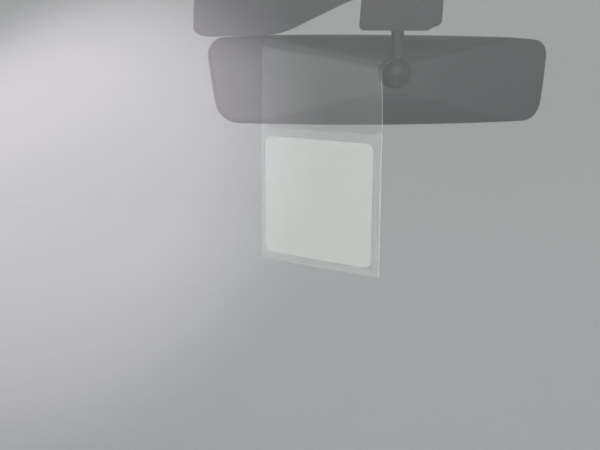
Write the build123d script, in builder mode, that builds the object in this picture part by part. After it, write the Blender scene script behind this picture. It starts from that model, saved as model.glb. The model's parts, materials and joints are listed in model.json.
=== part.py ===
from build123d import *
import math
import os

os.makedirs("parts", exist_ok=True)

# A laminated windscreen with the pieces bonded to it. All sizes are in millimetres.
# +X is across the car, +Y points back into the cabin and +Z up. The origin is on the body's
# flange, under the middle of the lower bead of adhesive. Places on the screen are given as
# "across" and "up", along a flat sheet laid through the origin at the glass's rake.

# The laminate, from the weather side inwards, and the enamel with its clearance from the glass
outer_ply_thickness = 2.1
interlayer_thickness = 0.76
inner_ply_thickness = 1.6
enamel_thickness = 0.15
fired_gap = 0.02

# How the glass lies: its rake in degrees above level, and the radius of its two bows
rake = 32.0
across_radius = 2400.0
upward_radius = 5000.0

# The edge of the glass
glass_height = 860.0
lower_half_width = 700.0
upper_half_width = 555.0
lower_bow = 95.0
upper_bow = 35.0
side_bow = 10.0
lower_corner = 55.0
upper_corner = 75.0

# The black enamel border and the wider field of it round the mirror's foot
enamel_edge_gap = 1.0
enamel_top = 45.0
enamel_side = 36.0
enamel_bottom = 70.0
opening_lower_corner = 40.0
opening_upper_corner = 60.0
field_round = 22.0
number_window_length = 70.0
number_window_height = 9.0
number_window_from_corner = 180.0
number_window_up = 96.0

# What a bonded piece leaves between itself and the glass: a film of glue, and a wide piece's more
glue_gap = 0.1
wide_glue_gap = 0.4

# Adhesive, pins and spacers that seat the screen on the body
bead_inset = 18.0
bead_width = 10.0
bead_height = 6.0
bead_end_gap = 0.3
bead_lower_joint = 100.0
bead_upper_joint = 115.0
pin_radius = 3.0
pin_length = 10.0
pin_tip_chamfer = 0.6
pin_foot_radius = 8.0
pin_foot_height = 2.5
pin_collar_radius = 5.0
pin_collar_height = 4.5
pin_from_corner = 155.0
pin_inset = 37.0
spacer_length = 24.0
spacer_width = 12.0
spacer_across = 330.0
spacer_inset = 42.0
spacer_corner = 2.0

# Rubber mouldings on the glass's edge
moulding_wall = 3.0
moulding_lip = 6.0
moulding_lip_thickness = 1.3
moulding_joint = 85.0
cowl_wall = 5.0
cowl_lip = 9.0
cowl_lip_thickness = 1.8
edge_gap = 0.2
strip_end_gap = 1.0
cowl_joint = 70.0
cowl_skirt = 12.0
cowl_skirt_thickness = 2.0

# The clear sleeve, stuck to the inner face by its top strip and hanging upright
sleeve_across = -28.0
sleeve_below_edge = 220.0
sleeve_turn = 16.2
film_thickness = 0.4
film_width = 89.0
film_drop = 130.6
side_seam = 3.0
strip_height = 10.0
strip_gap = 0.1
pocket_drop = 44.0
card_width = 80.0
card_height = 76.0
card_thickness = 0.5
card_corner = 4.8
card_lift = 4.7
card_shift = -1.1
card_gap = 0.15
card_seat = 0.3

# The mirror's button, foot and shroud, below the glass
button_width = 24.0
button_length = 30.0
button_thickness = 4.5
button_draft = 8.0
button_corner = 3.0
button_from_sleeve = 118.0
foot_width = 34.0
foot_length = 42.0
foot_thickness = 13.0
foot_glass_gap = 0.4
foot_corner = 4.0
slide_gap = 0.2
ball_radius = 7.0
ball_gap = 0.3
cup_wall = 3.0
stem_radius = 4.5
stem_length = 38.7
upper_ball_from_sleeve = 89.7
upper_ball_depth = 18.6
stem_room = 0.6
arm_swing = 12.0
neck_radius = 8.5
shroud_wall = 2.0
shroud_sag = 0.4
shroud_front_from_sleeve = 76.0
shroud_front_depth = 22.5
shroud_mouth = 28.0
shroud_depth = 33.5
shroud_length = 76.0
shroud_back_depth = 12.0
shroud_glass_half_width = 21.0
shroud_half_width = 28.0
shroud_round = 4.0
shroud_crease_round = 8.0

# The mirror's head
head_width = 255.0
head_end_lean = 8.5
head_height = 64.0
head_depth = 37.0
head_upper_corner = 11.0
head_lower_corner = 17.0
head_edge_bow = 2.5
head_side_bow = 0.8
head_turn = 28.5
head_dip = 5.0
head_wall = 2.2
head_end_depth = 11.0
head_crown_rise = 1.5
head_back_round = 3.5
head_crown_reach = 3.0
head_upper_depth = 10.0
head_lower_depth = 8.0
ball_ahead_of_face = 45.5
ball_above_middle = 4.0
bezel_depth = 5.0
bezel_lip = 1.0
bezel_floor = 1.0
bezel_face = 4.0
bezel_wall = 2.0
bezel_tongue = 3.0
tongue_thickness = 1.4
mirror_thickness = 2.8
mirror_gap = 0.3
socket_radius = 10.3
socket_gap = 0.3
socket_flange_radius = 14.0
socket_flange_thickness = 2.5
socket_flange_depth = 26.5

# The rain sensor, its bracket and its cover, beside the mirror's foot
sensor_from_sleeve_across = -74.0
sensor_from_sleeve_up = 108.0
sensor_radius = 17.0
sensor_height = 13.0
sensor_round = 2.0
sensor_window_radius = 14.0
bracket_width = 56.0
bracket_height = 50.0
bracket_thickness = 3.0
bracket_corner = 7.0
cover_width = 66.0
cover_height = 60.0
cover_depth = 21.0
cover_wall = 1.8
cover_corner = 12.0
cover_draft = 12.0
cover_round = 3.0

# Sizes worked out from those above
inner_ply_top = outer_ply_thickness + interlayer_thickness
glass_depth = inner_ply_top + inner_ply_thickness
enamelled_depth = glass_depth + enamel_thickness
flange_depth = enamelled_depth + bead_height
lower_edge = -bead_inset
upper_edge = glass_height - bead_inset
middle_up = (lower_edge + upper_edge) / 2
side_break = lower_edge + 0.25 * glass_height
cowl_split = lower_half_width - cowl_joint
moulding_split = upper_half_width - moulding_joint
bead_lower_split = lower_half_width - bead_lower_joint
bead_upper_split = upper_half_width - bead_upper_joint
pin_across = upper_half_width - pin_from_corner
number_window_across = lower_half_width - number_window_from_corner
sleeve_up = upper_edge - sleeve_below_edge
side_lean = (lower_half_width - upper_half_width) / (glass_height - lower_bow - upper_bow)

# The screen's own flat sheet, and the axis that its upward bow turns about
screen_plane = Plane(
    origin=(0, 0, 0),
    x_dir=(1, 0, 0),
    z_dir=(0, -math.sin(math.radians(rake)), math.cos(math.radians(rake))),
)
bow_ring = upward_radius - across_radius
bow_axis_depth = math.sqrt((upward_radius - flange_depth) ** 2 - middle_up**2)
bow_axis = Axis(
    screen_plane.from_local_coords((0, middle_up, -bow_axis_depth)), screen_plane.x_dir
)
half_sweep = math.degrees(math.asin(0.62 * glass_height / upward_radius))
sweep = 2 * half_sweep
half_span = math.degrees(math.asin(1.1 * lower_half_width / across_radius))
through = 0.4 * glass_height


def from_screen(across, up, out):
    """A direction given in the screen's own axes, in the part's axes."""
    return screen_plane.x_dir * across + screen_plane.y_dir * up + screen_plane.z_dir * out


def glass_place(across, up, depth=glass_depth):
    """The plane that touches the bowed face depth below the outer one, facing out of the car."""
    radius = across_radius - depth
    turn = math.asin(across / radius)
    ring = bow_ring + radius * math.cos(turn)
    rise = math.asin((up - middle_up) / ring)
    place = (across, up, ring * math.cos(rise) - bow_axis_depth)
    facing = from_screen(
        math.sin(turn), math.cos(turn) * math.sin(rise), math.cos(turn) * math.cos(rise)
    )
    sideways = from_screen(
        math.cos(turn), -math.sin(turn) * math.sin(rise), -math.sin(turn) * math.cos(rise)
    )
    return Plane(origin=screen_plane.from_local_coords(place), x_dir=sideways, z_dir=facing)


def below(plane, across, up, depth):
    """A point given from a plane that faces outwards, with its depth counted inwards."""
    return plane.from_local_coords((across, up, -depth))


def bowed_layer(top, bottom):
    """The face that sweeps a layer between two depths below the outer face of the glass."""
    lean = math.radians(half_sweep)
    outwards = from_screen(0, math.sin(lean), math.cos(lean))
    start = Plane(
        origin=bow_axis.position,
        x_dir=screen_plane.x_dir,
        z_dir=screen_plane.x_dir.cross(outwards),
    )
    with BuildSketch(start) as layer:
        with BuildLine():
            arcs = [
                CenterArc((0, bow_ring), across_radius - depth, 90 - half_span, 2 * half_span)
                for depth in (top, bottom)
            ]
            Line(arcs[0] @ 0, arcs[1] @ 0)
            Line(arcs[0] @ 1, arcs[1] @ 1)
        make_face()
    return layer.sketch


def on_screen(area):
    """An area drawn flat, laid on the screen's own sheet."""
    return screen_plane.location * area


def bow_radius(half_chord, bow):
    """The radius of an arc from half its chord and its height."""
    return (half_chord**2 + bow**2) / (2 * bow)


def four_discs(lower_half, upper_half, low, high, low_rise, high_fall, bulge):
    """The large discs, as centre and radius, that give a pane its four bowed edges."""
    low_radius = bow_radius(lower_half, low_rise)
    high_radius = bow_radius(upper_half, high_fall)
    low_end = Vector(lower_half, low + low_rise)
    high_end = Vector(upper_half, high - high_fall)
    chord = high_end - low_end
    side_radius = bow_radius(chord.length / 2, bulge)
    side = (low_end + high_end) / 2
    side += Vector(chord.Y, -chord.X).normalized() * (bulge - side_radius)
    return (
        ((0, low + low_radius), low_radius),
        ((0, high - high_radius), high_radius),
        ((side.X, side.Y), side_radius),
        ((-side.X, side.Y), side_radius),
    )


def pane(discs, lower_round, upper_round, grow=0):
    """The area that four discs share, with round corners, grown all round by grow."""
    with BuildSketch() as area:
        for number, (centre, radius) in enumerate(discs):
            with Locations(centre):
                Circle(radius + grow, mode=Mode.INTERSECT if number else Mode.ADD)
        fillet(area.vertices().sort_by(Axis.Y)[:2], lower_round + grow)
        fillet(area.vertices().sort_by(Axis.Y)[-2:], upper_round + grow)
    return area.sketch


def write(piece, name):
    """Names a finished piece and writes its file."""
    piece.part.label = name
    export_step(piece.part, f"parts/{name}.step")


# The discs of the glass's edge, and those of the clear opening inside the enamel border
glass_discs = four_discs(
    lower_half_width,
    upper_half_width,
    lower_edge,
    upper_edge,
    lower_bow,
    upper_bow,
    side_bow,
)
opening_discs = four_discs(
    lower_half_width - enamel_side - side_lean * enamel_bottom,
    upper_half_width - enamel_side + side_lean * enamel_top,
    lower_edge + enamel_bottom,
    upper_edge - enamel_top,
    lower_bow,
    upper_bow,
    side_bow,
)


def glass_area(grow):
    """The glass seen square on, grown all round by grow."""
    return pane(glass_discs, lower_corner, upper_corner, grow)


# The field of enamel round the mirror's foot: a low lobe on one side and a step on the other.
# Its corners are given across and up from the top of the sleeve.
field_corners = ((-160, 200), (-115, 73), (-97, 28), (-35, 28), (4, 78), (120, 78), (150, 200))
with BuildSketch() as enamel_field:
    with BuildLine():
        Polyline(
            [(sleeve_across + across, sleeve_up + up) for across, up in field_corners], close=True
        )
    make_face()
    fillet(enamel_field.vertices().sort_by(Axis.Y)[:5], field_round)

sensor_spot = (
    sleeve_across + sensor_from_sleeve_across,
    sleeve_up + sensor_from_sleeve_up,
)
with BuildSketch() as enamel_area:
    add(glass_area(-enamel_edge_gap))
    add(pane(opening_discs, opening_lower_corner, opening_upper_corner), mode=Mode.SUBTRACT)
    add(enamel_field.sketch)
    with Locations(sensor_spot):
        Circle(sensor_window_radius, mode=Mode.SUBTRACT)
    with Locations((number_window_across, number_window_up)):
        SlotOverall(number_window_length, number_window_height, mode=Mode.SUBTRACT)

# The three layers of the laminate, then the enamel fired onto its inner face
with BuildPart() as glass_outer_ply:
    revolve(bowed_layer(0, outer_ply_thickness), bow_axis, sweep)
    extrude(on_screen(glass_area(0)), amount=through, both=True, mode=Mode.INTERSECT)

with BuildPart() as glass_interlayer:
    revolve(bowed_layer(outer_ply_thickness, inner_ply_top), bow_axis, sweep)
    extrude(on_screen(glass_area(0)), amount=through, both=True, mode=Mode.INTERSECT)

with BuildPart() as glass_inner_ply:
    revolve(bowed_layer(inner_ply_top, glass_depth), bow_axis, sweep)
    extrude(on_screen(glass_area(0)), amount=through, both=True, mode=Mode.INTERSECT)

with BuildPart() as enamel_border:
    revolve(bowed_layer(glass_depth + fired_gap, enamelled_depth), bow_axis, sweep)
    extrude(on_screen(enamel_area.sketch), amount=through, both=True, mode=Mode.INTERSECT)

write(glass_outer_ply, "glass_outer_ply")
write(glass_interlayer, "glass_interlayer")
write(glass_inner_ply, "glass_inner_ply")
write(enamel_border, "enamel_border")


def edge_run(side, outer, inner, lower_split, upper_split, end_gap):
    """A strip along the lower, upper or left edge, between two offsets from the glass."""
    far = glass_height + lower_half_width
    with BuildSketch() as run:
        add(glass_area(outer))
        add(glass_area(inner), mode=Mode.SUBTRACT)
        if side == "lower":
            with Locations((0, side_break - far / 2)):
                Rectangle(2 * lower_split - end_gap, far, mode=Mode.INTERSECT)
        elif side == "upper":
            with Locations((0, side_break + far / 2)):
                Rectangle(2 * upper_split - end_gap, far, mode=Mode.INTERSECT)
        else:
            low_start = -lower_split - end_gap / 2
            high_start = -upper_split - end_gap / 2
            with BuildLine():
                Polyline(
                    (low_start, -far),
                    (-far, -far),
                    (-far, far),
                    (high_start, far),
                    (high_start, side_break),
                    (low_start, side_break),
                    close=True,
                )
            make_face(mode=Mode.INTERSECT)
    return run.sketch


def laid_strip(area, top, bottom):
    """What lies under an area of the screen, between two depths below the outer face."""
    with BuildPart() as strip:
        revolve(bowed_layer(top, bottom), bow_axis, sweep)
        extrude(on_screen(area), amount=through, both=True, mode=Mode.INTERSECT)
    return strip.part


# The mouldings, whose lips lap both faces of the glass. The glass's room is cut out of each.
lip_top = -edge_gap
lip_bottom = enamelled_depth + edge_gap
for side in ("upper", "left"):
    moulding_area = edge_run(
        side,
        edge_gap + moulding_wall,
        -moulding_lip,
        cowl_split,
        moulding_split,
        strip_end_gap,
    )
    groove_area = edge_run(side, edge_gap, -2 * moulding_lip, cowl_split, moulding_split, 0)
    with BuildPart() as moulding:
        add(
            laid_strip(
                moulding_area,
                lip_top - moulding_lip_thickness,
                lip_bottom + moulding_lip_thickness,
            )
        )
        add(laid_strip(groove_area, lip_top, lip_bottom), mode=Mode.SUBTRACT)
    write(moulding, f"{side}_moulding")

with BuildPart() as right_moulding:
    mirror(moulding.part, about=Plane.YZ)
write(right_moulding, "right_moulding")

# The seal along the lower edge, with a skirt that reaches down to the scuttle. It is one sweep,
# less the glass's room and less what lies behind the skirt.
cowl_outside = edge_gap + cowl_wall
cowl_bottom = lip_bottom + cowl_lip_thickness
skirt_bottom = cowl_bottom + cowl_skirt
cowl_area = edge_run("lower", cowl_outside, -cowl_lip, cowl_split, moulding_split, strip_end_gap)
groove_area = edge_run("lower", edge_gap, -2 * cowl_lip, cowl_split, moulding_split, 0)
behind_area = edge_run(
    "lower", cowl_outside - cowl_skirt_thickness, -2 * cowl_lip, cowl_split, moulding_split, 0
)
with BuildPart() as cowl_seal:
    add(laid_strip(cowl_area, lip_top - cowl_lip_thickness, skirt_bottom))
    add(laid_strip(groove_area, lip_top, lip_bottom), mode=Mode.SUBTRACT)
    add(laid_strip(behind_area, cowl_bottom, skirt_bottom + cowl_skirt), mode=Mode.SUBTRACT)
write(cowl_seal, "cowl_seal")

# The bead of adhesive, laid on the enamel in four runs
for side in ("lower", "upper", "left"):
    bead_area = edge_run(
        side,
        bead_width / 2 - bead_inset,
        -bead_width / 2 - bead_inset,
        bead_lower_split,
        bead_upper_split,
        bead_end_gap,
    )
    with BuildPart() as bead:
        revolve(bowed_layer(enamelled_depth, flange_depth), bow_axis, sweep)
        extrude(on_screen(bead_area), amount=through, both=True, mode=Mode.INTERSECT)
    write(bead, f"{side}_adhesive")

with BuildPart() as right_bead:
    mirror(bead.part, about=Plane.YZ)
write(right_bead, "right_adhesive")

# Locating pins, both along the way that the screen is set down
pin_up = upper_edge - upper_bow * (pin_across / upper_half_width) ** 2 - pin_inset
for hand, side in ((-1, "left"), (1, "right")):
    pin_seat = glass_place(hand * pin_across, pin_up, enamelled_depth + glue_gap)
    pin_plane = Plane(
        origin=pin_seat.origin - pin_seat.z_dir * pin_foot_height / 2,
        x_dir=screen_plane.x_dir,
        z_dir=-screen_plane.z_dir,
    )
    with BuildPart() as locating_pin:
        with BuildSketch(pin_seat):
            Circle(pin_foot_radius)
        extrude(amount=-pin_foot_height)
        with BuildSketch(pin_plane):
            Circle(pin_collar_radius)
        extrude(amount=pin_collar_height)
        with BuildSketch(pin_plane.offset(pin_collar_height)):
            Circle(pin_radius)
        extrude(amount=pin_length)
        tip = locating_pin.edges().sort_by(Axis(pin_plane.origin, pin_plane.z_dir))[-1]
        chamfer(tip, pin_tip_chamfer)
    write(locating_pin, f"{side}_locating_pin")

# Rubber spacers, which hold the glass off the flange while the adhesive sets
for hand, side in ((-1, "left"), (1, "right")):
    spacer_up = lower_edge + lower_bow * (spacer_across / lower_half_width) ** 2 + spacer_inset
    with BuildPart() as spacer:
        with BuildSketch(
            glass_place(hand * spacer_across, spacer_up, enamelled_depth + glue_gap)
        ):
            RectangleRounded(spacer_length, spacer_width, spacer_corner)
        extrude(amount=-(bead_height - glue_gap))
    write(spacer, f"{side}_spacer")

# The clear sleeve hangs upright from a line across the inner face
strip_depth = glass_depth + strip_gap
sleeve_top = glass_place(sleeve_across, sleeve_up, strip_depth + film_thickness / 2)
turn = math.radians(sleeve_turn)
sleeve_plane = Plane(
    origin=sleeve_top.origin,
    x_dir=(math.cos(turn), -math.sin(turn), 0),
    z_dir=(-math.sin(turn), -math.cos(turn), 0),
)
fold_slope = -sleeve_top.z_dir.dot(sleeve_plane.x_dir) / sleeve_top.z_dir.dot(sleeve_plane.y_dir)
fold = sleeve_plane.x_dir + sleeve_plane.y_dir * fold_slope
strip_rise = sleeve_top.z_dir.cross(fold.normalized()) * strip_height
half_film = film_width / 2
strip_corners = [
    screen_plane.to_local_coords(sleeve_top.origin + fold * end * half_film + strip_rise * rise)
    for end, rise in ((-1, 0), (1, 0), (1, 1), (-1, 1))
]
with BuildSketch() as strip_area:
    with BuildLine():
        Polyline([(corner.X, corner.Y) for corner in strip_corners], close=True)
    make_face()

with BuildPart() as sleeve_back_film:
    revolve(bowed_layer(strip_depth, strip_depth + film_thickness), bow_axis, sweep)
    extrude(on_screen(strip_area.sketch), amount=through, both=True, mode=Mode.INTERSECT)
    with BuildSketch(sleeve_plane):
        with BuildLine():
            Polyline(
                (-half_film, -film_drop),
                (half_film, -film_drop),
                (half_film, half_film * fold_slope + strip_height / 2),
                (-half_film, -half_film * fold_slope + strip_height / 2),
                close=True,
            )
        make_face()
    extrude(amount=film_thickness / 2, both=True)
    revolve(bowed_layer(strip_depth - strip_height, strip_depth), bow_axis, sweep, mode=Mode.SUBTRACT)
write(sleeve_back_film, "sleeve_back_film")

pocket_depth = card_thickness + 2 * card_gap
pocket_height = film_drop - pocket_drop
seam_plane = sleeve_plane.offset(film_thickness / 2)
with BuildPart() as sleeve_front_film:
    with BuildSketch(seam_plane):
        with Locations((0, pocket_height / 2 - film_drop)):
            Rectangle(film_width, pocket_height)
    extrude(amount=pocket_depth + film_thickness)
    with BuildSketch(seam_plane):
        with Locations((0, card_lift - card_seat - film_drop)):
            Rectangle(
                film_width - 2 * side_seam, pocket_height, align=(Align.CENTER, Align.MIN)
            )
    extrude(amount=pocket_depth, mode=Mode.SUBTRACT)
write(sleeve_front_film, "sleeve_front_film")

with BuildPart() as card:
    with BuildSketch(seam_plane.offset(card_gap)):
        with Locations((card_shift, card_lift + card_height / 2 - film_drop)):
            RectangleRounded(card_width, card_height, card_corner)
    extrude(amount=card_thickness)
write(card, "card")

# The mirror's button, bonded to the enamel, wider below so that the foot hooks over it
button_up = sleeve_up + button_from_sleeve
button_plane = glass_place(0, button_up, enamelled_depth + glue_gap)
with BuildPart() as mirror_button:
    with BuildSketch(button_plane):
        RectangleRounded(button_width, button_length, button_corner)
    extrude(amount=-button_thickness, taper=-button_draft)
write(mirror_button, "mirror_button")

# The foot slides over the button and carries the upper ball of the stem
ball_place = glass_place(0, sleeve_up + upper_ball_from_sleeve)
upper_ball = below(ball_place, 0, 0, upper_ball_depth)
lower_ball = upper_ball - Vector(0, 0, stem_length)
cup_radius = ball_radius + ball_gap + cup_wall
foot_plane = button_plane.offset(-foot_glass_gap)
foot_middle = below(button_plane, 0, 0, foot_thickness - neck_radius / 2)
neck_plane = Plane(origin=upper_ball, z_dir=foot_middle - upper_ball)
with BuildPart() as mirror_foot:
    with BuildSketch(foot_plane):
        RectangleRounded(foot_width, foot_length, foot_corner)
    extrude(amount=-foot_thickness)
    with BuildSketch(neck_plane):
        Circle(neck_radius)
    extrude(amount=(foot_middle - upper_ball).length)
    with Locations(upper_ball):
        Sphere(cup_radius)
        Sphere(ball_radius + ball_gap, mode=Mode.SUBTRACT)
    with BuildSketch(button_plane):
        with Locations((0, -foot_length / 2)):
            Rectangle(
                button_width + 2 * slide_gap,
                foot_length + button_length + 2 * slide_gap,
            )
    extrude(amount=-(button_thickness + slide_gap), taper=-button_draft, mode=Mode.SUBTRACT)
    with Locations(Plane(origin=upper_ball, z_dir=(0, 0, -1))):
        Cone(
            stem_radius + stem_room,
            stem_radius + stem_room + 2 * cup_radius * math.tan(math.radians(arm_swing)),
            2 * cup_radius,
            align=(Align.CENTER, Align.CENTER, Align.MIN),
            mode=Mode.SUBTRACT,
        )
write(mirror_foot, "mirror_foot")

# The shroud over the foot, open towards the glass and where the stem leaves it
shroud_front = sleeve_up + shroud_front_from_sleeve
shroud_seat = glass_place(0, shroud_front, enamelled_depth + wide_glue_gap).offset(-shroud_sag)
shroud_end = Plane(origin=(0, 0, 0), x_dir=(1, 0, 0), z_dir=(0, 1, 0))
spread = (shroud_half_width - shroud_glass_half_width) / (shroud_depth + shroud_wall)
shroud_far_half_width = shroud_half_width + spread * shroud_depth
roof_slope = (shroud_depth - shroud_back_depth) / (shroud_length - shroud_mouth)
roof_inside = shroud_depth - shroud_wall * math.hypot(1, roof_slope)
outside_profile = (
    (0, 0),
    (0, -shroud_front_depth),
    (shroud_mouth, -shroud_depth),
    (shroud_length, -shroud_back_depth),
    (shroud_length, 0),
)
inside_profile = (
    (shroud_wall, shroud_wall),
    (shroud_wall, -roof_inside - roof_slope * (shroud_mouth - shroud_wall)),
    (
        shroud_length - shroud_wall,
        -roof_inside + roof_slope * (shroud_length - shroud_wall - shroud_mouth),
    ),
    (shroud_length - shroud_wall, shroud_wall),
)


def shroud_form(profile, inset, crease_round=0):
    """A wedge with the given side profile, wider below than at the glass."""
    with BuildPart() as form:
        with BuildSketch(Plane.YZ) as side_view:
            with BuildLine():
                Polyline(profile, close=True)
            make_face()
            if crease_round:
                fillet(side_view.vertices().sort_by(Axis.Y)[0], crease_round)
        extrude(amount=2 * shroud_half_width, both=True)
        with BuildSketch(shroud_end):
            with BuildLine():
                Polyline(
                    (-shroud_glass_half_width + inset, -shroud_wall),
                    (-shroud_far_half_width + inset, 2 * shroud_depth),
                    (shroud_far_half_width - inset, 2 * shroud_depth),
                    (shroud_glass_half_width - inset, -shroud_wall),
                    close=True,
                )
            make_face()
        extrude(amount=2 * shroud_length, both=True, mode=Mode.INTERSECT)
        long_edges = [
            edge
            for edge in form.edges()
            if abs(edge.tangent_at(0.5).X) < 0.7 and edge.center().Z < -shroud_wall
        ]
        fillet(long_edges, shroud_round - inset)
    return shroud_seat.location * form.part


with BuildPart() as mirror_shroud:
    add(shroud_form(outside_profile, 0, shroud_crease_round))
    add(shroud_form(inside_profile, shroud_wall), mode=Mode.SUBTRACT)
write(mirror_shroud, "mirror_shroud")

# The stem, with a ball at each end
with BuildPart() as mirror_stem:
    with Locations(upper_ball, lower_ball):
        Sphere(ball_radius)
    with BuildSketch(Plane(origin=lower_ball, z_dir=(0, 0, 1))):
        Circle(stem_radius)
    extrude(amount=stem_length)
write(mirror_stem, "mirror_stem")

# The head: its plane lies on the rear face of the shell and faces the front of the car
head_angle = math.radians(head_turn)
dip = math.radians(head_dip)
head_axes = Plane(
    origin=(0, 0, 0),
    x_dir=(math.cos(head_angle), math.sin(head_angle), 0),
    z_dir=(
        math.sin(head_angle) * math.cos(dip),
        -math.cos(head_angle) * math.cos(dip),
        math.sin(dip),
    ),
)
head_plane = Plane(
    origin=lower_ball
    - head_axes.y_dir * ball_above_middle
    - head_axes.z_dir * ball_ahead_of_face,
    x_dir=head_axes.x_dir,
    z_dir=head_axes.z_dir,
)
half_height = head_height / 2
head_discs = four_discs(
    head_width / 2 - head_end_lean,
    head_width / 2,
    -half_height,
    half_height,
    head_edge_bow,
    head_edge_bow,
    head_side_bow,
)


def head_face(grow):
    """The head's outline seen from ahead, grown all round by grow."""
    return pane(head_discs, head_lower_corner, head_upper_corner, grow)


def head_area(ahead, outer, inner=None):
    """The head's outline, ahead of its rear plane, grown by outer and hollowed by inner."""
    with BuildSketch() as area:
        add(head_face(outer))
        if inner is not None:
            add(head_face(inner), mode=Mode.SUBTRACT)
    return head_plane.offset(ahead).location * area.sketch


crown_end = half_height + head_crown_reach


def shell_form(inset):
    """The head from its rear plane to its domed back, with its walls moved in by inset."""
    with BuildPart() as form:
        extrude(head_face(-inset), amount=2 * head_depth)
        with BuildSketch(Plane.XZ):
            with BuildLine():
                back = ThreePointArc(
                    (-head_width / 2, head_end_depth - inset),
                    (0, head_depth - inset),
                    (head_width / 2, head_end_depth - inset),
                )
                Polyline(back @ 1, (head_width / 2, 0), (-head_width / 2, 0), back @ 0)
            make_face()
        extrude(amount=head_height, both=True, mode=Mode.INTERSECT)
        with BuildSketch(Plane.YZ):
            with BuildLine():
                crown = ThreePointArc(
                    (crown_end, head_upper_depth - inset),
                    (0, head_depth + head_crown_rise - inset),
                    (-crown_end, head_lower_depth - inset),
                )
                Polyline(crown @ 1, (-crown_end, 0), (crown_end, 0), crown @ 0)
            make_face()
        extrude(amount=head_width, both=True, mode=Mode.INTERSECT)
        back_edges = [
            edge
            for edge in form.edges()
            if edge.center().Z > head_back_round and abs(edge.tangent_at(0.5).Z) < 0.75
        ]
        fillet(back_edges, head_back_round - inset)
    return head_plane.location * form.part


with BuildPart() as mirror_shell:
    add(shell_form(0))
    add(shell_form(head_wall), mode=Mode.SUBTRACT)
    with BuildSketch(head_plane):
        with Locations((0, ball_above_middle)):
            Circle(socket_radius + socket_gap)
    extrude(amount=2 * head_depth, mode=Mode.SUBTRACT)
write(mirror_shell, "mirror_shell")

# The socket holds the lower ball, with a flange behind the shell's back
socket_plane = head_plane.offset(socket_flange_depth)
with BuildPart() as mirror_socket:
    with BuildSketch(socket_plane):
        with Locations((0, ball_above_middle)):
            Circle(socket_radius)
    extrude(amount=ball_ahead_of_face - socket_flange_depth)
    with BuildSketch(socket_plane):
        with Locations((0, ball_above_middle)):
            Circle(socket_flange_radius)
    extrude(amount=-socket_flange_thickness)
    with Locations(lower_ball):
        Sphere(socket_radius)
        Sphere(ball_radius + ball_gap, mode=Mode.SUBTRACT)
    with BuildSketch(Plane(origin=lower_ball, z_dir=(0, 0, 1))):
        Circle(stem_radius + stem_room)
    extrude(amount=2 * socket_radius, mode=Mode.SUBTRACT)
write(mirror_socket, "mirror_socket")

# The bezel closes the shell's rim, and the mirror lies in it behind a thin lip
mirror_inset = bezel_wall + mirror_gap
mirror_play = (bezel_depth - bezel_lip - bezel_floor - mirror_thickness) / 2
tongue_outside = -head_wall - mirror_gap
tongue_inside = tongue_outside - tongue_thickness
with BuildPart() as mirror_bezel:
    extrude(head_area(-bezel_depth, 0, -bezel_wall), amount=bezel_depth)
    extrude(head_area(-bezel_depth, 0, -bezel_face), amount=bezel_lip)
    extrude(head_area(-bezel_floor, 0, tongue_inside), amount=bezel_floor)
    extrude(
        head_area(-bezel_floor, tongue_outside, tongue_inside),
        amount=bezel_floor + bezel_tongue,
    )
write(mirror_bezel, "mirror_bezel")

with BuildPart() as mirror_pane:
    extrude(
        head_area(-bezel_floor - mirror_play - mirror_thickness, -mirror_inset),
        amount=mirror_thickness,
    )
write(mirror_pane, "mirror_pane")

# The rain sensor looks out through a window in the enamel, held by a bonded bracket
sensor_seat = glass_place(*sensor_spot, enamelled_depth + wide_glue_gap)
with BuildPart() as sensor_bracket:
    with BuildSketch(sensor_seat):
        RectangleRounded(bracket_width, bracket_height, bracket_corner)
        Circle(sensor_radius + slide_gap, mode=Mode.SUBTRACT)
    extrude(amount=-bracket_thickness)
write(sensor_bracket, "sensor_bracket")

with BuildPart() as rain_sensor:
    with BuildSketch(sensor_seat):
        Circle(sensor_radius)
    extrude(amount=-sensor_height)
    sensor_back = rain_sensor.faces().sort_by(Axis(sensor_seat.origin, sensor_seat.z_dir))[0]
    fillet(sensor_back.edges(), sensor_round)
write(rain_sensor, "rain_sensor")

with BuildPart() as sensor_cover:
    with BuildSketch(sensor_seat):
        RectangleRounded(cover_width, cover_height, cover_corner)
    extrude(amount=-cover_depth, taper=cover_draft)
    cover_back = sensor_cover.faces().sort_by(Axis(sensor_seat.origin, sensor_seat.z_dir))[0]
    fillet(cover_back.edges(), cover_round)
    with BuildSketch(sensor_seat):
        RectangleRounded(
            cover_width - 2 * cover_wall, cover_height - 2 * cover_wall, cover_corner - cover_wall
        )
    extrude(amount=-(cover_depth - cover_wall), taper=cover_draft, mode=Mode.SUBTRACT)
write(sensor_cover, "sensor_cover")
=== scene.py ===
"""A car windscreen of laminated glass with its interior mirror and a clear card sleeve.

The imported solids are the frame. The three layers of the laminate are shown as one sheet of glass.
The enamel and the sleeve's films are meshed anew, so that they bend smoothly. The other pieces
keep their solids and get their finishes here. Lengths are in metres.
"""

import json
import math

import bpy
from mathutils import Matrix, Vector


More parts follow.
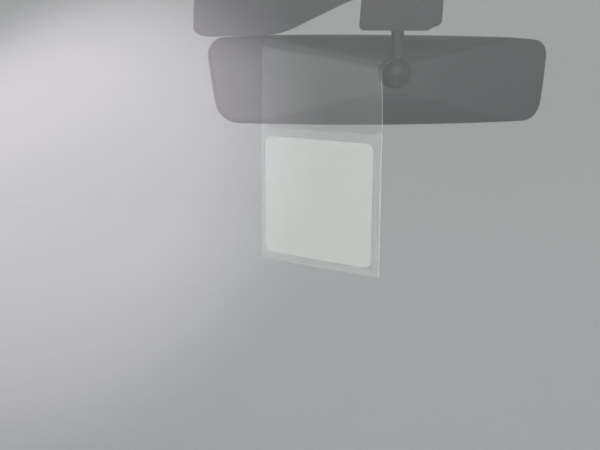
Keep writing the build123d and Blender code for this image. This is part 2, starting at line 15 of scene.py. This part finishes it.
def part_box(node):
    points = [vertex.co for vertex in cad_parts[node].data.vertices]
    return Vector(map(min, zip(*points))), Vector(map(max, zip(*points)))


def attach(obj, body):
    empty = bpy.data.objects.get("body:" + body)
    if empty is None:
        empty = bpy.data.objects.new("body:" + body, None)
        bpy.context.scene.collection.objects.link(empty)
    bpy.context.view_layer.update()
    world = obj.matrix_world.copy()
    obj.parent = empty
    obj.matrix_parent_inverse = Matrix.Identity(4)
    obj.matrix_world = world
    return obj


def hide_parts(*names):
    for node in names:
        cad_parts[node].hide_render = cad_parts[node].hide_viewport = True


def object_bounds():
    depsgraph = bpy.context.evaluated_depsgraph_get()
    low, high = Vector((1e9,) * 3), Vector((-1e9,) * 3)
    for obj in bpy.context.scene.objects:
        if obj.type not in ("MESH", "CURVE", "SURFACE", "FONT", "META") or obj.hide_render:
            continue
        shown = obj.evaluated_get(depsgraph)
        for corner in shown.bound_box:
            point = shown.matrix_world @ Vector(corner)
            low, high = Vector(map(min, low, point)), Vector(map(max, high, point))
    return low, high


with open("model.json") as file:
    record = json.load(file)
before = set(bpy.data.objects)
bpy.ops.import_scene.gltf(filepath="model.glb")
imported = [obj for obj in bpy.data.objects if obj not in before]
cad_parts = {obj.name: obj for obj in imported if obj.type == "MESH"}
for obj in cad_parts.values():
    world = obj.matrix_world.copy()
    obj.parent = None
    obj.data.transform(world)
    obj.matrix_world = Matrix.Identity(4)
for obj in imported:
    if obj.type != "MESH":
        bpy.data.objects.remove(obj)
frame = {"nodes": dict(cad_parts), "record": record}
cad_low, cad_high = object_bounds()
nodes = frame["nodes"]

MM = 0.001

# Edges flatter than this look smooth, and points nearer than this are one
SMOOTH_ANGLE = math.radians(30.0)
MERGE_DISTANCE = 0.01 * MM

# How the glass lies, as in the solids: its rake, its two bows and how far its middle is up it
RAKE = math.radians(32.0)
ACROSS_RADIUS = 2.4
UPWARD_RADIUS = 5.0
MIDDLE_UP = 0.412
FLANGE_DEPTH = 10.61 * MM
RING_RADIUS = UPWARD_RADIUS - ACROSS_RADIUS
AXIS_DEPTH = math.sqrt((UPWARD_RADIUS - FLANGE_DEPTH) ** 2 - MIDDLE_UP**2)
SCREEN_AXES = Matrix.Rotation(RAKE, 4, "X")

# Depths below the weather face: of the glass's inner face, and of the enamel's two faces
GLASS_DEPTH = 4.46 * MM
ENAMEL_DEPTH = 4.48 * MM
ENAMELLED_DEPTH = 4.61 * MM

# A sheet is made flat, in cells, with cells to spare on each side, and is then cut by an outline
# that reaches well past it. Of that outline's solid, only the faces that face out are taken.
SHEET_CELL = 12 * MM
SHEET_MARGIN = 2 * SHEET_CELL
FLAT_THICKNESS = 1 * MM
OUTLINE_REACH = 20 * MM
FACING_OUT = 0.6

# The clear sleeve: its turn about the upright, its seams, and the cells that its films are cut in
SLEEVE_TURN = math.radians(16.2)
SEAM_WIDTH = 3 * MM
FOOT_SEAM = 4.4 * MM
FILM_CELL = 6 * MM

# How far the bonded strip lies behind the hanging film, and what counts as facing sideways
STRIP_BEHIND = 0.35 * MM
FACING_SIDEWAYS = 0.9

# How the back film leaves its plane. Its wave comes in and goes out over WAVE_RISE of the height
# above the pocket, and is gone at WAVE_END of it. WAVE_ACROSS and WAVE_UP are its half turns over
# the half width and over that height.
CORNER_DRAWN_IN = 2.7 * MM
FILM_WAVE = 0.7 * MM
WAVE_RISE = 0.25
WAVE_END = 0.72
WAVE_ACROSS = 1.3
WAVE_UP = 0.8

# The front film swells where it lies further than POCKET_FACE ahead of the back film's middle
POCKET_SWELL = 0.5 * MM
POCKET_FACE = 0.6 * MM

# The camera, from the middle of the sleeve's pocket, looking through the glass from outside
EYE_FROM_POCKET = Vector((0.1662, -0.5299, 0.1007))
CAMERA_RIGHT = Vector((0.947, 0.3205, 0.0068))
CAMERA_UP = Vector((-0.0717, 0.1905, 0.979))
FOCAL_LENGTH = 53.76
SENSOR_WIDTH = 36.0
CLIP_START = 20 * MM

# The soft glow in the sky that the left of the glass mirrors
GLOW_DIRECTION = (-0.62, 0.25, 0.74)
GLOW_CORE = math.radians(4.0)
GLOW_REACH = math.radians(24.0)
GLOW_STRENGTH = 2.4
GLOW_COLOUR = "E9E1EC"

# The plain pale backdrop, and how far from the part the lit floor starts and ends to fade into it
BACKDROP = "A7A8A9"
FADE_START = 0.9
FADE_END = 2.0

# The floor's paint, its size, and how far it lies under the part
FLOOR_COLOUR = "9D9E9F"
FLOOR_SIZE = 60.0
FLOOR_DROP = 2 * MM

# The lamps are brightest in the middle and fade to nothing at the rim, so they mirror softly
LAMP_CORE = 0.1
LAMP_RIM = 0.5
LAMP_PEAK = 2.6

# Each lamp's name, place, diameter and power, and whether glossy pieces mirror it
LAMPS = (
    ("overhead", Vector((1.4, 1.2, 2.6)), 2.4, 14.0, False),
    ("front", Vector((0.9, -3.3, 1.4)), 3.2, 135.0, True),
    ("cabin", Vector((-1.0, 3.0, 1.5)), 2.8, 36.0, True),
)

# Between which two values nearly all of a noise lies
NOISE_LOW = 0.3
NOISE_HIGH = 0.7

# A moulded plastic's clouds of tone, and how far its roughness strays either way
PLASTIC_CLOUD = 25 * MM
PLASTIC_SPREAD = 0.06


def colour(code):
    """An sRGB hex colour as linear red, green, blue and alpha."""
    parts = [int(code[start : start + 2], 16) / 255 for start in (0, 2, 4)]
    linear = [p / 12.92 if p <= 0.04045 else ((p + 0.055) / 1.055) ** 2.4 for p in parts]
    return (*linear, 1.0)


def add_node(owner, kind, settings=None, links=None):
    """Adds a node to a material, world or lamp.

    Settings are its properties or sockets, and links say what feeds a socket.
    """
    node = owner.node_tree.nodes.new(kind)
    for name, value in (settings or {}).items():
        if isinstance(name, int) or name in node.inputs:
            node.inputs[name].default_value = value
        else:
            setattr(node, name, value)
    for name, source in (links or {}).items():
        owner.node_tree.links.new(source, node.inputs[name])
    return node


def new_material(name):
    """A material with no nodes yet."""
    material = bpy.data.materials.new(name)
    material.use_nodes = True
    material.node_tree.nodes.clear()
    return material


def surface_shader(
    material, settings, fine, roughness, coarse=None, tones=None, depth=None, rough_by_coarse=False
):
    """A Principled shader whose roughness, colour and relief follow one noise or two.

    A noise is given as the size of its features, its detail and how much the detail counts, and
    stays put on the piece. The fine one makes the relief and the roughness. The coarse one, or
    the fine one alone, clouds the colour between two tones. With rough_by_coarse the coarse one
    makes the roughness too.
    """
    place = add_node(material, "ShaderNodeTexCoord")
    fields = []
    for size, detail, weight in filter(None, (fine, coarse)):
        noise = add_node(
            material,
            "ShaderNodeTexNoise",
            {"Scale": 1.0 / size, "Detail": detail, "Roughness": weight},
            {"Vector": place.outputs["Object"]},
        )
        fields.append(noise.outputs["Fac"])
    low, high = roughness
    gloss = add_node(
        material,
        "ShaderNodeMapRange",
        {"From Min": NOISE_LOW, "From Max": NOISE_HIGH, "To Min": low, "To Max": high},
        {"Value": fields[-1] if rough_by_coarse else fields[0]},
    )
    links = {"Roughness": gloss.outputs["Result"]}
    if tones:
        dark, light = tones
        tone = add_node(
            material,
            "ShaderNodeMix",
            {"data_type": "RGBA", 6: colour(dark), 7: colour(light)},
            {0: fields[-1]},
        )
        links["Base Color"] = tone.outputs[2]
    if depth:
        relief = add_node(
            material,
            "ShaderNodeBump",
            {"Strength": 1.0, "Distance": depth},
            {"Height": fields[0]},
        )
        links["Normal"] = relief.outputs["Normal"]
    return add_node(material, "ShaderNodeBsdfPrincipled", settings, links)


def opaque_finish(name, settings, **look):
    """A material that lets no light through, with the look that surface_shader makes."""
    material = new_material(name)
    shader = surface_shader(material, settings, **look)
    add_node(material, "ShaderNodeOutputMaterial", links={"Surface": shader.outputs["BSDF"]})
    return material


def moulded_plastic(name, tones, roughness, grain_size, depth):
    """A moulded plastic whose tool was etched with a grain of the given size and depth."""
    return opaque_finish(
        name,
        {"IOR": 1.5},
        fine=(grain_size, 3.0, 0.5),
        coarse=(PLASTIC_CLOUD, 2.0, 0.5),
        tones=tones,
        roughness=(roughness - PLASTIC_SPREAD, roughness + PLASTIC_SPREAD),
        depth=depth,
    )


def clear_film(name, milk, tone="E5E6E5"):
    """Clear vinyl film: see-through, slightly milky and glossy, with soft ripples.

    The milk is how much of the surface scatters light in its own tone. The rest lets it pass.
    """
    material = new_material(name)
    skin = surface_shader(
        material,
        {"IOR": 1.53, "Base Color": colour(tone)},
        fine=(18 * MM, 2.0, 0.5),
        roughness=(0.12, 0.2),
        depth=0.25 * MM,
    )
    clear = add_node(material, "ShaderNodeBsdfTransparent", {"Color": colour("F7F8F7")})
    mixed = add_node(
        material,
        "ShaderNodeMixShader",
        {0: milk},
        {1: clear.outputs["BSDF"], 2: skin.outputs["BSDF"]},
    )
    add_node(material, "ShaderNodeOutputMaterial", links={"Surface": mixed.outputs["Shader"]})
    return material


def laminated_float_glass():
    """Float glass, faintly green from its iron, so what lies behind it is dimmed a little.

    A thin film of road dust, thicker in clouds about 260 mm across, scatters a little light and
    gives the sheet its veil. Light falls through it onto what lies behind, with no dark shadow.
    """
    material = new_material("laminated float glass")
    place = add_node(material, "ShaderNodeTexCoord")
    dust = add_node(
        material,
        "ShaderNodeTexNoise",
        {"Scale": 1.0 / (260 * MM), "Detail": 1.5, "Roughness": 0.4},
        {"Vector": place.outputs["Object"]},
    )
    clearness = add_node(
        material,
        "ShaderNodeMapRange",
        {"From Min": NOISE_LOW, "From Max": NOISE_HIGH, "To Min": 0.985, "To Max": 0.965},
        {"Value": dust.outputs["Fac"]},
    )
    glass = add_node(
        material,
        "ShaderNodeBsdfPrincipled",
        {"Base Color": colour("E8EAE9"), "Roughness": 0.0, "IOR": 1.52},
        {"Transmission Weight": clearness.outputs["Result"]},
    )
    clear = add_node(material, "ShaderNodeBsdfTransparent", {"Color": colour("F3F3F3")})
    rays = add_node(material, "ShaderNodeLightPath")
    mixed = add_node(
        material,
        "ShaderNodeMixShader",
        links={
            0: rays.outputs["Is Shadow Ray"],
            1: glass.outputs["BSDF"],
            2: clear.outputs["BSDF"],
        },
    )
    add_node(material, "ShaderNodeOutputMaterial", links={"Surface": mixed.outputs["Shader"]})
    return material


# The tooth of the enamel, the pores of the steel and the fibres of the card are finer in life.
# They are drawn at 0.5 to 0.7 mm, so that they can show from close by.
finishes = {
    # Black ceramic ink fired onto the glass: near black, with a fine satin tooth
    "enamel": opaque_finish(
        "fired ceramic enamel",
        {"IOR": 1.5},
        fine=(0.6 * MM, 2.0, 0.5),
        coarse=(40 * MM, 2.0, 0.5),
        tones=("121214", "1A1A1C"),
        roughness=(0.38, 0.5),
        depth=0.01 * MM,
    ),
    # EPDM rubber, extruded: soft black with a faint bloom, duller where it is paler, and pitted
    "rubber": opaque_finish(
        "extruded EPDM rubber",
        {"IOR": 1.5, "Sheen Weight": 0.08, "Sheen Roughness": 0.5},
        fine=(0.8 * MM, 3.0, 0.5),
        coarse=(30 * MM, 2.0, 0.5),
        tones=("1A1A1B", "2A2A2B"),
        roughness=(0.55, 0.72),
        depth=0.04 * MM,
        rough_by_coarse=True,
    ),
    # Polyurethane adhesive, laid as a bead: black and slightly glossy, with a wavy skin
    "adhesive": opaque_finish(
        "cured polyurethane adhesive",
        {"IOR": 1.5, "Base Color": colour("151516")},
        fine=(6 * MM, 2.0, 0.5),
        roughness=(0.3, 0.45),
        depth=0.3 * MM,
    ),
    # Nylon, moulded smooth: near black, with a soft shine
    "pin_plastic": moulded_plastic(
        "moulded nylon",
        tones=("1B1B1D", "242426"),
        roughness=0.42,
        grain_size=2 * MM,
        depth=0.01 * MM,
    ),
    # Pressed and sintered steel: grey and finely porous, with a dull metal shine
    "sintered_steel": opaque_finish(
        "sintered steel",
        {"Metallic": 1.0},
        fine=(0.5 * MM, 4.0, 0.5),
        tones=("7E7E80", "9A9A9C"),
        roughness=(0.42, 0.58),
        depth=0.02 * MM,
    ),
    # Die-cast zinc with black powder paint: a low orange peel under a satin coat
    "die_casting": opaque_finish(
        "powder painted zinc casting",
        {"IOR": 1.5, "Base Color": colour("1C1C1E")},
        fine=(1.2 * MM, 2.0, 0.5),
        roughness=(0.32, 0.44),
        depth=0.03 * MM,
    ),
    # Polypropylene in a tool with a leather grain about 1 mm across: dark grey, matt and pebbled
    "grained_plastic": moulded_plastic(
        "grained polypropylene",
        tones=("2C2C2F", "343437"),
        roughness=0.55,
        grain_size=0.9 * MM,
        depth=0.12 * MM,
    ),
    # Polycarbonate, moulded smooth: black and glossy
    "sensor_plastic": moulded_plastic(
        "smooth polycarbonate",
        tones=("161618", "1C1C1F"),
        roughness=0.2,
        grain_size=3 * MM,
        depth=0.01 * MM,
    ),
    "clear_film": clear_film("clear vinyl film", 0.045),
    # Coated white card, a little soft in tone, with the faint cloud of its fibres
    "card": opaque_finish(
        "white coated card",
        {"IOR": 1.45},
        fine=(0.7 * MM, 5.0, 0.65),
        coarse=(14 * MM, 3.0, 0.5),
        tones=("EFF0EE", "F4F4F2"),
        roughness=(0.5, 0.65),
        depth=0.015 * MM,
    ),
    # ABS, moulded with a fine spark-eroded finish: dark, with an even low sheen
    "bezel_plastic": moulded_plastic(
        "fine ABS",
        tones=("242426", "2B2B2E"),
        roughness=0.42,
        grain_size=0.5 * MM,
        depth=0.03 * MM,
    ),
    # Silver behind glass: a clear, slightly cool mirror with the faintest smear on it
    "mirror": opaque_finish(
        "silvered mirror glass",
        {"Metallic": 1.0, "Base Color": colour("E4E8EA")},
        fine=(30 * MM, 2.0, 0.5),
        roughness=(0.015, 0.05),
    ),
}
laminate_glass = laminated_float_glass()

# The pocket's film is handled most, so it is milkier. Its welds are pressed, and the strip that is
# bonded to the glass all but vanishes. Its right cut edge is a near-white painted highlight.
pocket_film = clear_film("scuffed vinyl film", 0.18, "DEDFDE")
welded_film = clear_film("welded vinyl film", 0.26, "DBDCDB")
# A near-white painted highlight for the film's right cut edge
painted_highlight_film = clear_film("vinyl film edge with painted highlight", 0.75, "F7F8F7")
bonded_film = clear_film("vinyl film bonded to glass", 0.012)

# Their places among a film's materials, after the film's own
WELD, PAINTED_HIGHLIGHT_EDGE, BONDED_STRIP = 1, 2, 3

for subpart in frame["record"]["subparts"]:
    if subpart["material_slot"] in finishes:
        node = nodes[subpart["node"]]
        node.data.materials.clear()
        node.data.materials.append(finishes[subpart["material_slot"]])


def only_select(piece):
    """Makes a piece the only one selected, and the active one."""
    bpy.ops.object.select_all(action="DESELECT")
    piece.select_set(True)
    bpy.context.view_layer.objects.active = piece


def copy_of(node, name):
    """A copy of a node's mesh as a piece of its own, with its loose triangles joined."""
    piece = bpy.data.objects.new(name, nodes[node].data.copy())
    bpy.context.scene.collection.objects.link(piece)
    only_select(piece)
    bpy.ops.object.mode_set(mode="EDIT")
    bpy.ops.mesh.select_all(action="SELECT")
    bpy.ops.mesh.remove_doubles(threshold=MERGE_DISTANCE)
    bpy.ops.object.mode_set(mode="OBJECT")
    return piece


def select_faces(piece, wanted):
    """Opens a piece in edit mode with only the faces that pass a test selected."""
    bpy.ops.object.mode_set(mode="EDIT")
    bpy.ops.mesh.select_mode(type="FACE")
    bpy.ops.mesh.select_all(action="DESELECT")
    bpy.ops.object.mode_set(mode="OBJECT")
    for polygon in piece.data.polygons:
        polygon.select = wanted(polygon)
    bpy.ops.object.mode_set(mode="EDIT")


def finish_piece(piece, material, body):
    """Gives a piece its material and its body."""
    piece.data.materials.clear()
    piece.data.materials.append(material)
    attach(piece, body)


def bowed_place(across, up, depth):
    """Where a point of the screen's flat sheet lies once the glass is bowed both ways."""
    ring = RING_RADIUS + math.sqrt((ACROSS_RADIUS - depth) ** 2 - across**2)
    out = math.sqrt(ring**2 - (up - MIDDLE_UP) ** 2) - AXIS_DEPTH
    return SCREEN_AXES @ Vector((across, up, out))


def flat_prism(node, name):
    """A node's outline, seen square on to the screen, as a block that reaches both ways."""
    prism = copy_of(node, name)
    prism.data.transform(SCREEN_AXES.inverted())
    select_faces(prism, lambda polygon: polygon.normal.z < FACING_OUT)
    bpy.ops.mesh.delete(type="FACE")
    bpy.ops.mesh.select_all(action="SELECT")
    bpy.ops.transform.resize(value=(1.0, 1.0, 0.0), center_override=(0.0, 0.0, 0.0))
    bpy.ops.transform.translate(value=(0.0, 0.0, -OUTLINE_REACH))
    bpy.ops.mesh.extrude_region_move(
        TRANSFORM_OT_translate={"value": (0.0, 0.0, 2 * OUTLINE_REACH)}
    )
    bpy.ops.mesh.select_all(action="SELECT")
    bpy.ops.mesh.normals_make_consistent(inside=False)
    bpy.ops.object.mode_set(mode="OBJECT")
    return prism


def bowed_sheet(node, name, outer_depth, inner_depth):
    """A close-meshed sheet with a node's outline that follows the bows of the glass exactly."""
    prism = flat_prism(node, name + "_outline")
    low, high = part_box(node)
    width = high.x - low.x + 2 * SHEET_MARGIN
    height = (high - low).length + 2 * SHEET_MARGIN
    bpy.ops.object.select_all(action="DESELECT")
    bpy.ops.mesh.primitive_grid_add(
        x_subdivisions=round(width / SHEET_CELL),
        y_subdivisions=round(height / SHEET_CELL),
        size=1.0,
        location=(0.0, MIDDLE_UP, 0.0),
    )
    sheet = bpy.context.object
    sheet.name = name
    sheet.scale = (width, height, 1.0)
    bpy.ops.object.transform_apply(location=True, rotation=True, scale=True)
    bpy.ops.object.mode_set(mode="EDIT")
    bpy.ops.mesh.select_all(action="SELECT")
    bpy.ops.mesh.extrude_region_move(
        TRANSFORM_OT_translate={"value": (0.0, 0.0, FLAT_THICKNESS)}
    )
    bpy.ops.mesh.select_all(action="SELECT")
    bpy.ops.mesh.normals_make_consistent(inside=False)
    bpy.ops.object.mode_set(mode="OBJECT")
    cut = sheet.modifiers.new("outline", "BOOLEAN")
    cut.operation = "INTERSECT"
    cut.solver = "EXACT"
    cut.object = prism
    bpy.ops.object.modifier_apply(modifier="outline")
    bpy.data.objects.remove(prism)
    for vertex in sheet.data.vertices:
        depth = outer_depth if vertex.co.z > FLAT_THICKNESS / 2 else inner_depth
        vertex.co = bowed_place(vertex.co.x, vertex.co.y, depth)
    only_select(sheet)
    bpy.ops.object.shade_smooth_by_angle(angle=SMOOTH_ANGLE)
    return sheet


def cut_across(piece, places, direction):
    """Cuts a piece's faces at each place along a direction, so that it can bend there."""
    only_select(piece)
    bpy.ops.object.mode_set(mode="EDIT")
    for place in places:
        bpy.ops.mesh.select_all(action="SELECT")
        bpy.ops.mesh.bisect(plane_co=direction * place, plane_no=direction)
    bpy.ops.object.mode_set(mode="OBJECT")


def steps(low, high, size):
    """Evenly spaced places between two ends, about a given size apart."""
    count = max(2, round((high - low) / size))
    return [low + (high - low) * number / count for number in range(1, count)]


def smooth(value):
    """Rises softly from 0 to 1 as the value does."""
    value = min(max(value, 0.0), 1.0)
    return value * value * (3 - 2 * value)


# The laminate, with the thickness of all three layers, and the enamel on its inner face
laminate = bowed_sheet("glass_outer_ply", "laminated_glass", 0.0, GLASS_DEPTH)
finish_piece(laminate, laminate_glass, "screen")
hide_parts("glass_outer_ply", "glass_interlayer", "glass_inner_ply")

enamel = bowed_sheet("enamel_border", "fired_enamel_border", ENAMEL_DEPTH, ENAMELLED_DEPTH)
finish_piece(enamel, finishes["enamel"], "screen")
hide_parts("enamel_border")

# The sleeve's own axes: across the film, up it, and ahead towards the glass, from its lower edge
film_low, film_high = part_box("sleeve_back_film")
foot_points = [v.co for v in nodes["sleeve_back_film"].data.vertices if v.co.z < film_low.z + MM]
film_foot = sum(foot_points, Vector()) / len(foot_points)
film_across = Vector((math.cos(SLEEVE_TURN), -math.sin(SLEEVE_TURN), 0.0))
film_ahead = Vector((-math.sin(SLEEVE_TURN), -math.cos(SLEEVE_TURN), 0.0))
film_axes = Matrix((film_across, Vector((0.0, 0.0, 1.0)), film_ahead)).transposed().to_4x4()
film_axes = Matrix.Translation(film_foot) @ film_axes
film_half_width = max((point - film_foot).dot(film_across) for point in foot_points)
film_height = film_high.z - film_low.z
pocket_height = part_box("sleeve_front_film")[1].z - film_low.z


def film_piece(node, name, film):
    """A copy of one film of the sleeve, in its own axes, cut into cells.

    Its welds and the strip behind it get finishes of their own, and the cut edge on its right gets
    a near-white painted highlight.
    """
    piece = copy_of(node, name)
    piece.data.transform(film_axes.inverted())
    inside = film_half_width - SEAM_WIDTH
    cut_across(piece, [-inside, *steps(-inside, inside, FILM_CELL), inside], Vector((1, 0, 0)))
    top = max(vertex.co.y for vertex in piece.data.vertices)
    cut_across(piece, [FOOT_SEAM, *steps(FOOT_SEAM, top, FILM_CELL)], Vector((0, 1, 0)))
    piece.data.materials.clear()
    for material in (film, welded_film, painted_highlight_film, bonded_film):
        piece.data.materials.append(material)
    for polygon in piece.data.polygons:
        in_weld = abs(polygon.center.x) > inside or polygon.center.y < FOOT_SEAM
        if polygon.center.z < -STRIP_BEHIND:
            polygon.material_index = BONDED_STRIP
        # The right edge's faces get a near-white painted highlight
        elif polygon.normal.x > FACING_SIDEWAYS:
            polygon.material_index = PAINTED_HIGHLIGHT_EDGE
        elif in_weld and polygon.center.y < pocket_height:
            polygon.material_index = WELD
    return piece


def set_film(piece, node):
    """Puts a film back in its place in the part, on the screen's body."""
    piece.data.transform(film_axes)
    only_select(piece)
    bpy.ops.object.shade_smooth_by_angle(angle=SMOOTH_ANGLE)
    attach(piece, "screen")
    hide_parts(node)


# The back film: above the pocket it waves a little, and its right edge is drawn in
back_film = film_piece("sleeve_back_film", "sleeve_back_sheet", finishes["clear_film"])
for vertex in back_film.data.vertices:
    climb = (vertex.co.y - pocket_height) / (film_height - pocket_height)
    side = vertex.co.x / film_half_width
    hanging = smooth(climb / WAVE_RISE) * smooth((WAVE_END - climb) / WAVE_RISE)
    wave = math.sin(math.pi * (WAVE_ACROSS * side + WAVE_UP * climb))
    vertex.co.x -= CORNER_DRAWN_IN * max(climb, 0.0) * (side + 1) / 2
    vertex.co.z += FILM_WAVE * wave * hanging
set_film(back_film, "sleeve_back_film")

# The front film swells over the card, most at the pocket's open mouth
front_film = film_piece("sleeve_front_film", "sleeve_pocket_sheet", pocket_film)
for vertex in front_film.data.vertices:
    side = vertex.co.x / film_half_width
    climb = vertex.co.y / pocket_height
    if abs(side) < 1 and vertex.co.z > POCKET_FACE:
        vertex.co.z += POCKET_SWELL * (1 - side**4) * smooth(climb)
set_film(front_film, "sleeve_front_film")


def floor_paint():
    """Matt floor paint, lit by the lamps near the part and fading into the plain backdrop.

    Only what is seen, straight, mirrored or through glass, fades. Other rays meet the paint. The
    floor lies with its own middle under the part, so its coordinates give the distance.
    """
    material = new_material("matt floor paint")
    paint = add_node(
        material,
        "ShaderNodeBsdfPrincipled",
        {"Base Color": colour(FLOOR_COLOUR), "Roughness": 0.9},
    )
    backdrop = add_node(
        material, "ShaderNodeEmission", {"Color": colour(BACKDROP), "Strength": 1.0}
    )
    place = add_node(material, "ShaderNodeTexCoord")
    reach = add_node(
        material,
        "ShaderNodeVectorMath",
        {"operation": "LENGTH"},
        {0: place.outputs["Object"]},
    )
    far = add_node(
        material,
        "ShaderNodeMapRange",
        {"interpolation_type": "SMOOTHSTEP", "From Min": FADE_START, "From Max": FADE_END},
        {"Value": reach.outputs["Value"]},
    )
    rays = add_node(material, "ShaderNodeLightPath")
    straight_or_mirrored = add_node(
        material,
        "ShaderNodeMath",
        {"operation": "MAXIMUM"},
        {0: rays.outputs["Is Camera Ray"], 1: rays.outputs["Is Glossy Ray"]},
    )
    seen = add_node(
        material,
        "ShaderNodeMath",
        {"operation": "MAXIMUM"},
        {0: straight_or_mirrored.outputs["Value"], 1: rays.outputs["Is Transmission Ray"]},
    )
    fade = add_node(
        material,
        "ShaderNodeMath",
        {"operation": "MULTIPLY"},
        {0: far.outputs["Result"], 1: seen.outputs["Value"]},
    )
    mixed = add_node(
        material,
        "ShaderNodeMixShader",
        links={
            0: fade.outputs["Value"],
            1: paint.outputs["BSDF"],
            2: backdrop.outputs["Emission"],
        },
    )
    add_node(material, "ShaderNodeOutputMaterial", links={"Surface": mixed.outputs["Shader"]})
    return material


part_middle = (cad_low + cad_high) / 2
bpy.ops.mesh.primitive_plane_add(
    size=FLOOR_SIZE, location=(part_middle.x, part_middle.y, cad_low.z - FLOOR_DROP)
)
floor = bpy.context.object
floor.name = "floor"
floor.data.materials.append(floor_paint())


def studio_world():
    """An even pale sky with one soft, faintly violet glow in it.

    The glow lies where the left of the glass mirrors it, and isn't seen straight from the camera.
    """
    world = bpy.data.worlds.new("studio")
    world.use_nodes = True
    world.node_tree.nodes.clear()
    direction = add_node(world, "ShaderNodeTexCoord")
    across = add_node(
        world,
        "ShaderNodeVectorMath",
        {"operation": "DOT_PRODUCT", 1: GLOW_DIRECTION},
        {0: direction.outputs["Generated"]},
    )
    nearness = add_node(
        world,
        "ShaderNodeMapRange",
        {
            "interpolation_type": "SMOOTHERSTEP",
            "From Min": math.cos(GLOW_REACH),
            "From Max": math.cos(GLOW_CORE),
        },
        {"Value": across.outputs["Value"]},
    )
    rays = add_node(world, "ShaderNodeLightPath")
    unseen = add_node(
        world,
        "ShaderNodeMath",
        {"operation": "SUBTRACT", 0: 1.0},
        {1: rays.outputs["Is Camera Ray"]},
    )
    glow = add_node(
        world,
        "ShaderNodeMath",
        {"operation": "MULTIPLY"},
        {0: nearness.outputs["Result"], 1: unseen.outputs["Value"]},
    )
    sky = add_node(world, "ShaderNodeBackground", {"Color": colour(BACKDROP), "Strength": 1.0})
    bright = add_node(
        world, "ShaderNodeBackground", {"Color": colour(GLOW_COLOUR), "Strength": GLOW_STRENGTH}
    )
    mixed = add_node(
        world,
        "ShaderNodeMixShader",
        links={
            0: glow.outputs["Value"],
            1: sky.outputs["Background"],
            2: bright.outputs["Background"],
        },
    )
    add_node(world, "ShaderNodeOutputWorld", links={"Surface": mixed.outputs["Shader"]})
    return world


bpy.context.scene.world = studio_world()


def soft_light(name, place, aim, size, power, mirrored):
    """A large round lamp that points from a place to what it lights, and fades to its rim.

    It isn't seen, straight or through the glass. Glossy pieces mirror it only where that is said.
    """
    lamp = bpy.data.lights.new(name, "AREA")
    lamp.shape = "DISK"
    lamp.size = size
    lamp.energy = power
    lamp.use_nodes = True
    lamp.node_tree.nodes.clear()
    face = add_node(lamp, "ShaderNodeNewGeometry")
    from_middle = add_node(
        lamp,
        "ShaderNodeVectorMath",
        {"operation": "SUBTRACT", 1: (0.5, 0.5, 0.0)},
        {0: face.outputs["Parametric"]},
    )
    flat = add_node(
        lamp,
        "ShaderNodeVectorMath",
        {"operation": "MULTIPLY", 1: (1.0, 1.0, 0.0)},
        {0: from_middle.outputs["Vector"]},
    )
    radius = add_node(
        lamp, "ShaderNodeVectorMath", {"operation": "LENGTH"}, {0: flat.outputs["Vector"]}
    )
    fade = add_node(
        lamp,
        "ShaderNodeMapRange",
        {
            "interpolation_type": "SMOOTHSTEP",
            "From Min": LAMP_RIM,
            "From Max": LAMP_CORE,
            "To Max": LAMP_PEAK,
        },
        {"Value": radius.outputs["Value"]},
    )
    glow = add_node(lamp, "ShaderNodeEmission", links={"Strength": fade.outputs["Result"]})
    add_node(lamp, "ShaderNodeOutputLight", links={"Surface": glow.outputs["Emission"]})
    lamp_object = bpy.data.objects.new(name, lamp)
    lamp_object.matrix_world = (
        Matrix.Translation(place) @ (aim - place).to_track_quat("-Z", "Y").to_matrix().to_4x4()
    )
    lamp_object.visible_camera = False
    lamp_object.visible_transmission = False
    lamp_object.visible_glossy = mirrored
    bpy.context.scene.collection.objects.link(lamp_object)


pocket_low, pocket_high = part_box("sleeve_front_film")
pocket_middle = (pocket_low + pocket_high) / 2
for name, place, size, power, mirrored in LAMPS:
    soft_light(name, place, pocket_middle, size, power, mirrored)

camera_data = bpy.data.cameras.new("camera")
camera_data.lens = FOCAL_LENGTH
camera_data.sensor_width = SENSOR_WIDTH
camera_data.clip_start = CLIP_START
camera = bpy.data.objects.new("camera", camera_data)
right = CAMERA_RIGHT.normalized()
back = right.cross(CAMERA_UP).normalized()
camera_axes = Matrix((right, back.cross(right), back)).transposed()
camera.matrix_world = Matrix.Translation(pocket_middle + EYE_FROM_POCKET) @ camera_axes.to_4x4()
bpy.context.scene.collection.objects.link(camera)
bpy.context.scene.camera = camera
bpy.context.scene.view_settings.view_transform = "Standard"
